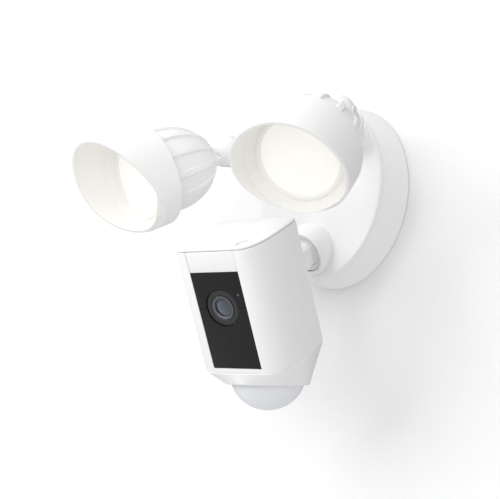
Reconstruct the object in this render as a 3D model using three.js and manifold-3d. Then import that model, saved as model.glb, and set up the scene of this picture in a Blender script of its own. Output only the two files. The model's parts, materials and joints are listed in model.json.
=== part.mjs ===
// Floodlight security camera: a round wall base with two swivelling floodlights and a camera on a ball mount.
// Millimetres, +Z up. The wall is the plane Y = 0, the camera looks towards -Y, and +X is on the right
// of someone who faces the wall. The origin is the centre of the wall face.

import * as THREE from 'three';
import { mergeVertices } from 'three/addons/utils/BufferGeometryUtils.js';
import Module from 'manifold-3d';

const wasm = await Module();
wasm.setup();

// ---------- driving dimensions ----------

const GAP = 0.3;            // clearance between pieces that touch
const WALL = 2.4;           // moulded wall thickness
const ROUND = 32;           // sides of a turned piece
const SMALL_ROUND = 16;     // sides of a small turned piece

const BASE_RADIUS = 68;     // at the wall
const FACE_RADIUS = 65;     // at the crisp front edge
const BASE_DEPTH = 25.2;    // wall to front edge
const FACE_RISE = 7;        // crown of the front face
const GASKET = 2;           // foam pad against the wall

const ARM_ROOT = new THREE.Vector3(40, -31, 30);     // where an arm leaves the face
const ARM_RADIUS = 11.8;
const ARM_YAW = 27.9;       // the swivel axis turns outwards by this much, in degrees
const ARM_RISE = 9.7;       // and rises by this much
const KNUCKLE_RADIUS = 12.5;
const LUG_WIDTH = 9;        // the lamp's lug, between the knuckle's cheeks
const LUG_RADIUS = 12.2;
const NECK_HEIGHT = 16;     // the lug narrows to this where it meets the lamp
const SWIVEL_PLATE = 12.6;  // pivot to the plate that joins the cheeks and turns on the arm
const PIN_RADIUS = 2.5;
const HEAD_RADIUS = 4.5;    // the tilt pin's head
const HEAD_SINK = 1.4;      // sunk into the knuckle
const LOCK_CAP_RADIUS = 3.6;
const LOCK_CAP_TURN = 141;  // from the arm round to the cap over the tilt lock, in degrees

// The tilt axis crosses the swivel axis at the pivot, given for an arm on the right.
const LAMPS = [
  { side: 'right', sign: 1, pivot: new THREE.Vector3(59.5, -60.2, 38.6), swivel: 5.5, tilt: 49.3 },
  { side: 'left', sign: -1, pivot: new THREE.Vector3(59.5, -64.4, 39.4), swivel: 23.3, tilt: 37.4 },
];
const LAMP_REAR = 13.4;     // pivot to the back of the lamp
const LAMP_RADIUS = 32;     // over the fins
const FLANGE_RADIUS = 34.6; // the flange inside the hood
const LAMP_SHOULDER = 56;   // pivot to where the lamp's dome becomes a cylinder
const LAMP_MOUTH = 74;
const FIN_COUNT = 12;
const FIN_HEIGHT = 4.5;
const FIN_THICKNESS = 3;
const LENS_PLACE = 77.8;    // pivot to the face of the lens
const LENS_RADIUS = 27;
const HOOD_REAR = 63.7;
const HOOD_REAR_RADIUS = 37.7;
const HOOD_FRONT_RADIUS = 38.4;
const HOOD_MIDDLE = 99.4;   // pivot to the slanted mouth, on the lamp's axis
const HOOD_SLANT = 22.9;    // degrees from square, in the middle
const HOOD_BOW = 205;       // the mouth is bowed forwards at the sides, to this radius

const BALL = new THREE.Vector3(0, -32, -43.2);
const BALL_RADIUS = 11.6;
const SOCKET_RADIUS = 19;
const SOCKET_MOUTH = 16.5;
const SEAT_RADIUS = 15.6;   // outside of the two rings that grip the ball
const SOCKET_DROP = 34;   // the socket's mouth looks down by this much, in degrees
const CAMERA_AIM = { yaw: 11.8, pitch: 30.6, roll: 6.6 };
const STEM_REACH = 114.9;   // ball centre to the camera's front face
const STEM_HEIGHT = 8;      // stem above the middle of the black panel
const STEM_HALF = 8.8;      // half the square stem's width
const STEM_CHAMFER = 3;
const STEM_NECK = 6.3;      // where it meets the ball

const CAMERA = {
  frontHalf: 20.9, sideHalf: 34.5, widest: 26, backHalf: 32.3, backCorner: 57.5, backBulge: 61.3,
};
const CAMERA_TOP = 48.2;
const CAMERA_BOTTOM = -37.6;
const CAP_THICKNESS = 1.5;
const PANEL_WIDTH = 38.6;
const PANEL_HEIGHT = 67.6;
const PANEL_DEPTH = 2;
const LENS_HEIGHT = 9;      // camera lens above the middle of the black panel
const RIM_CENTRE = new THREE.Vector3(0, 27.5, -58.3);    // centre of the sensor dome's rim
const RIM_TILT = 24;        // the rim drops towards the back by this much, in degrees
const RIM_RADIUS = 28;
const DOME_RADIUS = 26.5;
const DOME_HEIGHT = 17.6;

const radians = THREE.MathUtils.degToRad;

// ---------- materials ----------

const finish = (color, roughness, metalness = 0) =>
  new THREE.MeshStandardMaterial({ color, roughness, metalness });

const white = finish(0xf2f2f0, 0.45);
const coated = finish(0xf0f0ee, 0.5, 0.1);
const black = finish(0x2b2b2c, 0.35);
const smoked = finish(0x15171a, 0.1);
const frosted = finish(0xd5d8de, 0.35);
const diffuser = finish(0xfdfbf2, 0.4);
const chrome = finish(0xd8d8d8, 0.15, 1);
const steel = finish(0xb4b6b8, 0.35, 1);
const aluminium = finish(0xc4c6c8, 0.4, 1);
const board = finish(0x1f5c3a, 0.55);
const component = finish(0x262626, 0.5);
const rubber = finish(0x303030, 0.85);
const nylon = finish(0xcfcfc8, 0.5);
const phosphor = finish(0xf0c840, 0.5);

// ---------- solids ----------

/** Merges a closed geometry's vertices, drops collapsed triangles and turns its faces outwards. */
function toManifold(geometry) {
  const bare = geometry.clone();
  bare.deleteAttribute('normal');
  bare.deleteAttribute('uv');
  const merged = mergeVertices(bare, 1e-4);
  const points = merged.attributes.position.array;
  const corner = (i) => new THREE.Vector3().fromArray(points, 3 * i);
  const triangles = [];
  let volume = 0;
  for (let i = 0; i < merged.index.count; i += 3) {
    const [a, b, c] = merged.index.array.slice(i, i + 3);
    if (a === b || b === c || c === a) continue;
    triangles.push(a, b, c);
    volume += corner(a).dot(corner(b).cross(corner(c)));
  }
  if (volume < 0) triangles.reverse();
  return new wasm.Manifold(new wasm.Mesh({
    numProp: 3,
    vertProperties: new Float32Array(points),
    triVerts: new Uint32Array(triangles),
  }));
}

function toGeometry(manifold) {
  const mesh = manifold.getMesh();
  const geometry = new THREE.BufferGeometry();
  geometry.setAttribute('position', new THREE.BufferAttribute(new Float32Array(mesh.vertProperties), 3));
  geometry.setIndex(new THREE.BufferAttribute(new Uint32Array(mesh.triVerts), 1));
  return geometry;
}

const combine = (how) => (first, ...others) =>
  toGeometry(others.reduce((sum, other) => sum[how](toManifold(other)), toManifold(first)));
const join = combine('add');
const cut = combine('subtract');
const overlap = combine('intersect');

function moved(geometry, x = 0, y = 0, z = 0, turnX = 0, turnY = 0, turnZ = 0) {
  const turn = new THREE.Euler(radians(turnX), radians(turnY), radians(turnZ), 'ZXY');
  const matrix = new THREE.Matrix4().makeRotationFromEuler(turn).setPosition(x, y, z);
  return geometry.clone().applyMatrix4(matrix);
}

const block = (width, depth, height) => new THREE.BoxGeometry(width, depth, height);

/** A solid of revolution about the Y axis, from [radius, y] pairs. */
function turned(profile, sides = ROUND) {
  return new THREE.LatheGeometry(profile.map(([radius, y]) => new THREE.Vector2(radius, y)), sides);
}

/** A round bar along Y between two heights. */
const rod = (radius, from, to, sides = SMALL_ROUND) =>
  turned([[0, from], [radius, from], [radius, to], [0, to]], sides);

/** A round tube along Y between two heights. */
const tube = (outer, inner, from, to, sides = ROUND) =>
  turned([[inner, from], [outer, from], [outer, to], [inner, to], [inner, from]], sides);

/** A flat outline raised along Z. */
function raised(shape, from, to, curveSegments = 8) {
  const geometry = new THREE.ExtrudeGeometry(shape, { depth: to - from, bevelEnabled: false, curveSegments });
  return geometry.translate(0, 0, from);
}

/** A closed skin over rings of equally many points, with a fan of triangles at each end. */
function loft(rings) {
  const count = rings[0].length;
  const centre = (ring) => ring.reduce((sum, p) => sum.add(p), new THREE.Vector3()).divideScalar(count);
  const points = [...rings.flat(), centre(rings[0]), centre(rings.at(-1))];
  const triangles = [];
  for (let i = 0; i < count; i++) {
    const next = (i + 1) % count;
    for (let ring = 0; ring < rings.length - 1; ring++) {
      const low = ring * count;
      const high = low + count;
      triangles.push(low + i, low + next, high + next, low + i, high + next, high + i);
    }
    const last = (rings.length - 1) * count;
    triangles.push(points.length - 2, next, i);
    triangles.push(points.length - 1, last + i, last + next);
  }
  const geometry = new THREE.BufferGeometry().setFromPoints(points);
  geometry.setIndex(triangles);
  return geometry;
}

/** The outer half of an ellipse as [radius, y] pairs, from the angle `from` to the angle `to`. */
function arc(radius, length, centre, from, to, steps) {
  return Array.from({ length: steps + 1 }, (_, i) => {
    const angle = radians(from + (to - from) * i / steps);
    return [radius * Math.cos(angle), centre + length * Math.sin(angle)];
  });
}

/** Adds a named piece, as a merged solid whose faces point outwards. */
function part(parent, name, geometry, material) {
  const mesh = new THREE.Mesh(toGeometry(toManifold(geometry)), material);
  mesh.name = name;
  parent.add(mesh);
}

// ---------- the base ----------

/** The crowned front face: its Y at a distance from the centre, moved in by `inset`. */
const faceY = (radius, inset = 0) =>
  -(BASE_DEPTH + FACE_RISE * (1 - (radius / FACE_RADIUS) ** 2)) + inset;

const HOUSING_BACK = -(GASKET + GAP);
const SKIRT = 1.6;                       // the housing's thin edge, which hides the foam pad
const COVER_SEAT = -BASE_DEPTH + 3;      // the cover's flange meets the housing here
const BRACKET_THICKNESS = 1.5;
const BRACKET_SLOT_X = 39.7;             // the slots take wall-box screws 70 to 89 apart
const SLOT_LENGTH = 14.4;
const SLOT_WIDTH = 4.8;
const BASE_SCREW_X = 22;                 // the base screws to the bracket here
const WIRE_HOLE_RADIUS = 11;
const WIRE_HOLE_Z = -27;
const COVER_SCREW_X = 56;

/** The same piece on the left and on the right. */
const onSides = (geometry, distance) => [-1, 1].map((side) => moved(geometry, side * distance, 0, 0));

function buildBase(base) {
  part(base, 'wall_gasket', tube(BASE_RADIUS - 2, BASE_RADIUS - 12, -GASKET, 0, ROUND), rubber);

  const housing = turned([
    [0, HOUSING_BACK - 3], [BASE_RADIUS - WALL, HOUSING_BACK - 3],
    [FACE_RADIUS - WALL, COVER_SEAT], [FACE_RADIUS + 0.1, COVER_SEAT],
    [BASE_RADIUS, -GAP], [BASE_RADIUS - SKIRT, -GAP], [BASE_RADIUS - SKIRT, HOUSING_BACK], [0, HOUSING_BACK],
  ]);
  const wireHole = moved(rod(WIRE_HOLE_RADIUS, -8, 1, 24), 0, 0, WIRE_HOLE_Z);
  const screwHoles = onSides(rod(2.6, -8, 1), BASE_SCREW_X);
  const headWindows = onSides(block(SLOT_LENGTH + 6, 12, 11), BRACKET_SLOT_X);
  part(base, 'base_housing', cut(housing, wireHole, ...screwHoles, ...headWindows), white);

  const bracket = moved(block(104, BRACKET_THICKNESS, 20), 0, -BRACKET_THICKNESS / 2, 0);
  const slotEnds = onSides(rod(SLOT_WIDTH / 2, -3, 3, 24), (SLOT_LENGTH - SLOT_WIDTH) / 2);
  const slot = join(block(SLOT_LENGTH - SLOT_WIDTH, 6, SLOT_WIDTH), ...slotEnds);
  const slots = onSides(slot, BRACKET_SLOT_X);
  const tappedHoles = onSides(rod(2.3, -4, 1), BASE_SCREW_X);
  part(base, 'mounting_bracket', cut(bracket, ...slots, ...tappedHoles), steel);

  const baseScrew = join(rod(4.5, -8.4, -5.6), rod(2, -5.7, -0.3));
  LAMPS.forEach(({ side, sign }) =>
    part(base, `base_screw_${side}`, moved(baseScrew, sign * BASE_SCREW_X, 0, 0), steel));

  part(base, 'base_cover', cover(), white);
  const coverScrew = join(rod(3, -8.6, -6.6, 12), rod(1.5, -22, -8.5, 12));
  LAMPS.forEach(({ side, sign }) =>
    part(base, `cover_screw_${side}`, moved(coverScrew, sign * COVER_SCREW_X, 0, 0), steel));
  buildElectronics(base);
  buildSocket(base);
}

/** The crowned front cover, with a boss for each arm and the ball socket's seat. */
function cover() {
  const steps = [0, 0.2, 0.4, 0.6, 0.8, 1];
  const outside = steps.map((step) => [FACE_RADIUS * step, faceY(FACE_RADIUS * step)]);
  const inside = steps.map((step) => {
    const radius = (FACE_RADIUS - WALL) * step;
    return [radius, faceY(radius, WALL)];
  });
  const rim = [[FACE_RADIUS, COVER_SEAT - GAP], [FACE_RADIUS - WALL, COVER_SEAT - GAP]];
  const shell = turned([...outside, ...rim, ...inside.reverse()]);
  const bosses = LAMPS.map(({ sign }) =>
    moved(rod(ARM_RADIUS + 1, ARM_ROOT.y, -24), sign * ARM_ROOT.x, 0, ARM_ROOT.z));
  const armHoles = LAMPS.map(({ sign }) =>
    moved(rod(6.3, -40, -20), sign * ARM_ROOT.x, 0, ARM_ROOT.z));
  const socketHole = moved(rod(SEAT_RADIUS + 0.8, -50, -20, ROUND), BALL.x, 0, BALL.z);
  const screwPosts = onSides(rod(3.4, -25.5, -16), COVER_SCREW_X);
  const screwBores = onSides(rod(1.8, -24, -15), COVER_SCREW_X);
  return cut(join(shell, ...bosses, ...screwPosts), ...armHoles, socketHole, ...screwBores);
}

function buildElectronics(base) {
  const driver = moved(block(62, 1.6, 34), 0, -12, 26);
  part(base, 'driver_board', driver, board);
  const parts = [[-20, 20, 16], [0, 14, 22], [20, 16, 14]].map(([x, width, height]) =>
    moved(block(width, 8, height), x, -18, 26));
  const potting = moved(block(60, 1.5, 26), 0, -13.85, 26);
  part(base, 'driver_components', join(potting, ...parts), component);
  const terminal = cut(block(24, 9, 9), ...[-8, 0, 8].map((x) => moved(block(5, 12, 3), x, 0, 0)));
  part(base, 'terminal_block', moved(terminal, 0, -13, -5), nylon);
  const siren = join(rod(13, -12, -7), rod(9, -17, -11.9));
  part(base, 'siren', moved(siren, -36, 0, -26), component);
}

// ---------- the ball socket ----------

function buildSocket(base) {
  const socket = new THREE.Group();
  socket.position.copy(BALL);
  socket.rotation.x = radians(SOCKET_DROP);
  base.add(socket);

  const mouth = -Math.sqrt(SOCKET_RADIUS ** 2 - SOCKET_MOUTH ** 2);
  const reach = Math.asin(-mouth / SOCKET_RADIUS) * 180 / Math.PI;
  const cup = turned([[0, mouth], ...arc(SOCKET_RADIUS, SOCKET_RADIUS, 0, -reach, 90, 9)]);
  const cavityRadius = SEAT_RADIUS + 0.4;
  const cavity = turned([
    [0, mouth - 1], [SOCKET_MOUTH - 1, mouth - 1], [SOCKET_MOUTH - 1, mouth],
    ...arc(cavityRadius, cavityRadius, 0, -30, 0, 5),
    [cavityRadius, 9], [10, 13], [10, 20], [0, 20],
  ]);
  // The cup ends just in front of the cover's crowned face.
  const behind = moved(block(80, 60, 80), 0, faceY(Math.abs(BALL.z) - 20) - GAP + 30, BALL.z);
  const toSocket = new THREE.Matrix4()
    .makeRotationX(-radians(SOCKET_DROP))
    .multiply(new THREE.Matrix4().makeTranslation(-BALL.x, -BALL.y, -BALL.z));
  part(socket, 'ball_socket', cut(cup, cavity, behind.applyMatrix4(toSocket)), white);

  const seat = (from, to) => turned([
    ...arc(SEAT_RADIUS, SEAT_RADIUS, 0, from, to, 4), ...arc(BALL_RADIUS + GAP, BALL_RADIUS + GAP, 0, to, from, 4),
    arc(SEAT_RADIUS, SEAT_RADIUS, 0, from, to, 4)[0],
  ], SMALL_ROUND);
  part(socket, 'front_seat_ring', seat(-29, -20), nylon);
  part(socket, 'rear_seat_ring', seat(-4, 8), nylon);
}

// ---------- the arms and lamps ----------

function buildLampSide(base, { side, sign, pivot, swivel, tilt }) {
  part(base, `arm_${side}`, arm(sign, pivot), white);
  part(base, `arm_nut_${side}`,
    moved(cut(rod(9.5, -23.2, -19, 6), rod(6.4, -24, -18)), sign * ARM_ROOT.x, 0, ARM_ROOT.z), steel);

  const armEnd = new THREE.Group();
  armEnd.position.set(sign * pivot.x, pivot.y, pivot.z);
  armEnd.rotation.set(-radians(ARM_RISE), 0, sign * radians(ARM_YAW), 'ZXY');
  base.add(armEnd);

  const knuckleGroup = new THREE.Group();
  knuckleGroup.rotation.y = sign * radians(swivel);
  armEnd.add(knuckleGroup);
  part(knuckleGroup, `knuckle_${side}`, knuckle(sign), white);
  part(knuckleGroup, `tilt_screw_${side}`, moved(tiltScrew(), 0, 0, 0, 0, 0, -90 * sign), white);

  const lamp = new THREE.Group();
  lamp.rotation.x = radians(tilt);
  knuckleGroup.add(lamp);
  buildLamp(lamp, side);
}

/** A hollow elbow from the face's boss to the swivel plane, with a threaded spigot through the cover. */
function arm(sign, pivot) {
  const swivelPlane = KNUCKLE_RADIUS + 4;
  const direction = new THREE.Vector3(0, -1, 0)
    .applyEuler(new THREE.Euler(-radians(ARM_RISE), 0, radians(ARM_YAW), 'ZXY'));
  const end = pivot.clone().addScaledVector(direction, -swivelPlane);
  const start = ARM_ROOT.clone().add(new THREE.Vector3(0, -GAP, 0));
  const path = new THREE.CubicBezierCurve3(
    start.clone().add(new THREE.Vector3(-0.6, 3, -0.6)),
    start.clone().add(new THREE.Vector3(1.5, -8, 1.5)),
    end.clone().addScaledVector(direction, -8),
    end,
  );
  const section = (radius) => new THREE.Shape().absarc(0, 0, radius, 0, 2 * Math.PI);
  const along = (radius) => new THREE.ExtrudeGeometry(section(radius),
    { steps: 6, bevelEnabled: false, curveSegments: 9, extrudePath: path });
  const spigot = moved(rod(6, ARM_ROOT.y - 2, -18.5), ARM_ROOT.x, 0, ARM_ROOT.z);
  const bore = moved(rod(3.6, ARM_ROOT.y - 2.4, -18), ARM_ROOT.x, 0, ARM_ROOT.z);
  const behindBoss = moved(block(60, 20, 60), ARM_ROOT.x, start.y + 10, ARM_ROOT.z);
  const right = cut(join(cut(along(ARM_RADIUS), behindBoss), spigot), along(4), bore);
  return sign > 0 ? right : mirrored(right);
}

/** The same solid on the other side of the object. */
const mirrored = (geometry) => geometry.clone().applyMatrix4(new THREE.Matrix4().makeScale(-1, 1, 1));

/** A ball with a slot for the lamp's lug, on a stem that turns against the arm's end. */
function knuckle(sign) {
  const ball = turned(arc(KNUCKLE_RADIUS, KNUCKLE_RADIUS, 0, -90, 90, 10), 24);
  const stem = rod(ARM_RADIUS - 0.4, 5, KNUCKLE_RADIUS + 4 - GAP, 24);
  const lockCap = moved(rod(LOCK_CAP_RADIUS, KNUCKLE_RADIUS - 1, KNUCKLE_RADIUS + 0.4),
    0, 0, 0, 0, 0, -LOCK_CAP_TURN * sign);
  const slot = moved(block(LUG_WIDTH + 2 * GAP, 40, 60), 0, SWIVEL_PLATE - 20, 0);
  const wireway = rod(3.5, 6, 40, 16);
  const pinHole = moved(rod(PIN_RADIUS + GAP, -20, 20), 0, 0, 0, 0, 0, 90);
  const headPocket = moved(rod(HEAD_RADIUS + GAP, KNUCKLE_RADIUS - HEAD_SINK - GAP, KNUCKLE_RADIUS + 5),
    0, 0, 0, 0, 0, -90 * sign);
  return cut(join(ball, stem, lockCap), slot, wireway, pinHole, headPocket);
}

/** The tilt pin with its broad round head, drawn along Y with the head at +Y. */
function tiltScrew() {
  const reach = KNUCKLE_RADIUS;
  const head = rod(HEAD_RADIUS, reach - HEAD_SINK, reach + 0.4);
  const driver = moved(block(5, 1.6, 1.2), 0, reach + 0.4, 0);
  return cut(join(head, rod(PIN_RADIUS, -reach + 1, reach - HEAD_SINK + 0.1)), driver);
}

/** The lamp's outside radius at a distance from the pivot. */
function lampRadius(distance) {
  if (distance >= LAMP_SHOULDER) return LAMP_RADIUS;
  const run = LAMP_SHOULDER - LAMP_REAR;
  const reach = (LAMP_SHOULDER - distance) / run;
  return Math.max(8, LAMP_RADIUS * Math.sqrt(Math.max(0, 1 - reach ** 2)));
}

/** The dome's profile, moved in by `inset`, from the back to the shoulder. */
function domeProfile(inset, from, steps = 6) {
  return Array.from({ length: steps + 1 }, (_, i) => {
    const ease = Math.sin(radians(90 * i / steps));
    const distance = from + (LAMP_SHOULDER - from) * (1 - Math.cos(Math.asin(ease)));
    return [Math.max(3, lampRadius(distance) - inset), -distance];
  });
}

function buildLamp(lamp, side) {
  part(lamp, `lamp_housing_${side}`, lampHousing(), coated);
  part(lamp, `hood_${side}`, hood(), coated);
  part(lamp, `bezel_${side}`, turned([
    [LENS_RADIUS + GAP, -LENS_PLACE + 3], [HOOD_REAR_RADIUS - WALL - 0.4, -LENS_PLACE + 2.3],
    [HOOD_REAR_RADIUS - WALL - 0.4, -LENS_PLACE - 3.5], [LENS_RADIUS + 3, -LENS_PLACE - 0.4],
    [LENS_RADIUS + 2, -LENS_PLACE - 1.4], [LENS_RADIUS + GAP, -LENS_PLACE - 1],
    [LENS_RADIUS + GAP, -LENS_PLACE + 3],
  ]), white);
  part(lamp, `lens_${side}`, turned([
    [0, -LENS_PLACE - 1.2], [14, -LENS_PLACE - 1], [LENS_RADIUS, -LENS_PLACE], [LENS_RADIUS, -LENS_PLACE + 2],
    [0, -LENS_PLACE + 1],
  ]), diffuser);
  part(lamp, `reflector_${side}`, turned([
    [9, -56.5], [18, -62], [25, -73.2], [29, -73.2], [29, -74.2], [24, -74.2], [17, -63], [8.2, -57.5], [9, -56.5],
  ], 24), chrome);
  part(lamp, `led_board_${side}`, rod(17, -55.6, -54, 24), aluminium);
  part(lamp, `led_array_${side}`, moved(block(10, 1.2, 10), 0, -56.5, 0), phosphor);
  part(lamp, `heat_plate_${side}`, rod(24, -53.7, -51, ROUND), aluminium);
}

function lampHousing() {
  const flangeBack = -HOOD_REAR - 1.5;
  const skin = turned([
    [0, -LAMP_REAR], ...domeProfile(FIN_HEIGHT, LAMP_REAR), [LAMP_RADIUS - FIN_HEIGHT, flangeBack],
    [FLANGE_RADIUS, flangeBack], [FLANGE_RADIUS, -LAMP_MOUTH], [0, -LAMP_MOUTH],
  ]);
  const finOutline = new THREE.Shape([
    new THREE.Vector2(0, -LAMP_SHOULDER), new THREE.Vector2(0, -LAMP_REAR - 1),
    ...domeProfile(0, LAMP_REAR + 1).map(([radius, y]) => new THREE.Vector2(radius, y)),
    new THREE.Vector2(LAMP_RADIUS, flangeBack - 1), new THREE.Vector2(0, flangeBack - 1),
  ]);
  const fin = raised(finOutline, -FIN_THICKNESS / 2, FIN_THICKNESS / 2);
  const fins = Array.from({ length: FIN_COUNT }, (_, i) =>
    moved(fin, 0, 0, 0, 0, 360 * (i + 0.5) / FIN_COUNT, 0));
  const collar = rod(8.5, -LAMP_REAR - 3, -LAMP_REAR);
  const lugBall = turned(arc(LUG_RADIUS, LUG_RADIUS, 0, -90, 90, 10), 24);
  const lug = join(
    overlap(lugBall, block(LUG_WIDTH, 3 * LUG_RADIUS, 3 * LUG_RADIUS)),
    moved(block(LUG_WIDTH, LAMP_REAR + 4, NECK_HEIGHT), 0, -(LAMP_REAR + 4) / 2, 0),
  );
  const bayRadius = LAMP_RADIUS - FIN_HEIGHT - WALL;
  const bay = turned([
    [0, -22], ...domeProfile(FIN_HEIGHT + WALL, 22, 4), [bayRadius, flangeBack - 2],
    [FLANGE_RADIUS - WALL, flangeBack - 4], [FLANGE_RADIUS - WALL, -LAMP_MOUTH - 1], [0, -LAMP_MOUTH - 1],
  ]);
  const pinHole = moved(rod(PIN_RADIUS + GAP, -20, 20), 0, 0, 0, 0, 0, 90);
  const wireway = rod(2.2, -25, -5, 12);
  return cut(join(skin, ...fins, collar, lug), bay, pinHole, wireway);
}

/** A sleeve whose bowed mouth is cut at a slant, longest at the top. */
function hood() {
  const longest = 125;
  const outer = [[HOOD_REAR_RADIUS, -HOOD_REAR], [HOOD_FRONT_RADIUS, -longest]];
  const inner = [[HOOD_FRONT_RADIUS - WALL, -longest], [HOOD_REAR_RADIUS - WALL + 0.4, -HOOD_REAR]];
  const sleeve = turned([...outer, ...inner, outer[0]]);
  const slant = radians(HOOD_SLANT);
  const bow = moved(rod(HOOD_BOW, -60, 60, 120),
    0, HOOD_BOW * Math.cos(slant) - HOOD_MIDDLE, HOOD_BOW * Math.sin(slant), 0, 0, 90);
  return overlap(sleeve, bow);
}

// ---------- the camera ----------

/** The camera's plan outline, moved in by `inset`: flat in front, bowed at the sides, sharp back corners. */
function plan(inset = 0) {
  const front = CAMERA.frontHalf - 0.4 * inset;
  const side = CAMERA.sideHalf - inset;
  const back = CAMERA.backHalf - inset;
  const corner = CAMERA.backCorner - inset;
  const bulge = 2 * (CAMERA.backBulge - inset) - corner;
  const shape = new THREE.Shape();
  shape.moveTo(-front, inset);
  shape.lineTo(front, inset);
  shape.bezierCurveTo(front + 9.5, inset + 0.3, side, inset + 8, side, CAMERA.widest);
  shape.quadraticCurveTo(side, 43, back, corner);
  shape.quadraticCurveTo(0, bulge, -back, corner);
  shape.quadraticCurveTo(-side, 43, -side, CAMERA.widest);
  shape.bezierCurveTo(-side, inset + 8, -front - 9.5, inset + 0.3, -front, inset);
  return shape;
}

function buildCamera(base) {
  const ball = new THREE.Group();
  ball.position.copy(BALL);
  const { yaw, pitch, roll } = CAMERA_AIM;
  ball.rotation.set(radians(pitch), radians(roll), radians(yaw), 'ZXY');
  base.add(ball);
  part(ball, 'ball_stem', ballStem(), coated);

  const camera = new THREE.Group();
  camera.position.set(0, -STEM_REACH, -STEM_HEIGHT);
  ball.add(camera);
  part(camera, 'camera_housing', cameraHousing(), white);
  part(camera, 'top_cap', topCap(), white);
  part(camera, 'setup_button', setupButton(), white);
  buildFront(camera);
  buildInside(camera);
  buildSensor(camera);
}

/** An eight-sided section of the chamfered square stem, across the Y axis. */
function stemSection(half, chamfer, y) {
  const short = half - chamfer;
  const corners = [[half, short], [short, half], [-short, half], [-half, short],
    [-half, -short], [-short, -half], [short, -half], [half, -short]];
  return corners.map(([x, z]) => new THREE.Vector3(x, y, z));
}

/** The ball, its chamfered square stem and the foot that screws to the camera's back. */
function ballStem() {
  const ball = turned(arc(BALL_RADIUS, BALL_RADIUS, 0, -90, 90, 10), 24);
  const foot = -(STEM_REACH - CAMERA.backBulge) + GAP;
  const stem = loft([
    stemSection(STEM_HALF, STEM_CHAMFER, foot), stemSection(STEM_HALF, STEM_CHAMFER, -15),
    stemSection(STEM_NECK, STEM_CHAMFER - 1, -11), stemSection(STEM_NECK, STEM_CHAMFER - 1, -7),
  ]);
  return cut(join(ball, stem), rod(3, foot - 1, 14, 12));
}

const BUTTON_PLACE = { x: 22.5, y: 9.5 };
const BUTTON_RADIUS = 5.3;

const buttonDisc = (radius) =>
  new THREE.Shape().absarc(BUTTON_PLACE.x, BUTTON_PLACE.y, radius, 0, 2 * Math.PI);

function cameraHousing() {
  const shell = cut(raised(plan(), CAMERA_BOTTOM, CAMERA_TOP),
    raised(plan(WALL), CAMERA_BOTTOM - 1, CAMERA_TOP + 1));
  const window = moved(block(PANEL_WIDTH + 2 * GAP, 10, CAMERA_TOP + PANEL_HEIGHT / 2 + 10),
    0, 0, (CAMERA_TOP - PANEL_HEIGHT / 2 + 10) / 2);
  const stemHole = moved(rod(4, 50, 70), 0, 0, STEM_HEIGHT);
  return cut(shell, window, stemHole);
}

function topCap() {
  const cap = raised(plan(), CAMERA_TOP + GAP, CAMERA_TOP + CAP_THICKNESS + GAP);
  const plug = cut(raised(plan(WALL + GAP), CAMERA_TOP - 3, CAMERA_TOP + 1),
    raised(plan(WALL + 2), CAMERA_TOP - 4, CAMERA_TOP + GAP),
    moved(block(PANEL_WIDTH + 4, 16, 8), 0, 0, CAMERA_TOP - 3.8));
  const well = raised(buttonDisc(BUTTON_RADIUS + GAP), CAMERA_TOP - 5, CAMERA_TOP + 5);
  return cut(join(cap, plug), well);
}

function setupButton() {
  const top = CAMERA_TOP + GAP + CAP_THICKNESS - 0.7;
  const key = raised(buttonDisc(BUTTON_RADIUS), top - 2.6, top);
  const stem = moved(rod(1.6, 0, 3, 12), BUTTON_PLACE.x, BUTTON_PLACE.y, top - 5.5, 90, 0, 0);
  return join(key, stem);
}

const EYE_PLACE = { x: 15, z: LENS_HEIGHT + 9 };     // the ambient light sensor

function buildFront(camera) {
  const panelTop = PANEL_HEIGHT / 2;
  const slab = (height) => block(PANEL_WIDTH, PANEL_DEPTH, height);
  const stripHeight = CAMERA_TOP - panelTop - GAP;
  part(camera, 'fascia_strip',
    moved(slab(stripHeight), 0, PANEL_DEPTH / 2, panelTop + GAP + stripHeight / 2), white);

  const barrelHole = moved(rod(12.5 + GAP, -5, 10, ROUND), 0, 0, LENS_HEIGHT);
  const upperHeight = panelTop - LENS_HEIGHT;
  const lowerHeight = PANEL_HEIGHT - upperHeight - GAP;
  const eye = moved(rod(1.4, -5, 10, 12), EYE_PLACE.x, 0, EYE_PLACE.z);
  const upper = moved(slab(upperHeight), 0, PANEL_DEPTH / 2, panelTop - upperHeight / 2);
  part(camera, 'front_panel', cut(upper, barrelHole, eye), black);
  const lower = moved(slab(lowerHeight), 0, PANEL_DEPTH / 2, -panelTop + lowerHeight / 2);
  part(camera, 'speaker_grille', cut(lower, barrelHole), black);
  part(camera, 'light_sensor', moved(rod(1.1, 0.2, 3, 12), EYE_PLACE.x, 0, EYE_PLACE.z), smoked);

  const barrel = turned([
    [8.6, 0.9], [12.5, 0.2], [12.5, 4.2], [10, 4.2], [10, 19], [7, 19], [7, 4], [8.6, 4], [8.6, 0.9],
  ]);
  part(camera, 'lens_barrel', moved(barrel, 0, 0, LENS_HEIGHT), black);
  const ring = turned([[6.6, 0.6], [8.3, 0.3], [8.3, 3.4], [6.6, 3.4], [6.6, 0.6]]);
  part(camera, 'lens_ring', moved(ring, 0, 0, LENS_HEIGHT), component);
  const glass = turned([[0, 0.9], [3.5, 1.1], [6.3, 1.8], [6.3, 3.4], [0, 3.4]], 32);
  part(camera, 'lens_glass', moved(glass, 0, 0, LENS_HEIGHT), smoked);
}

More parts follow.
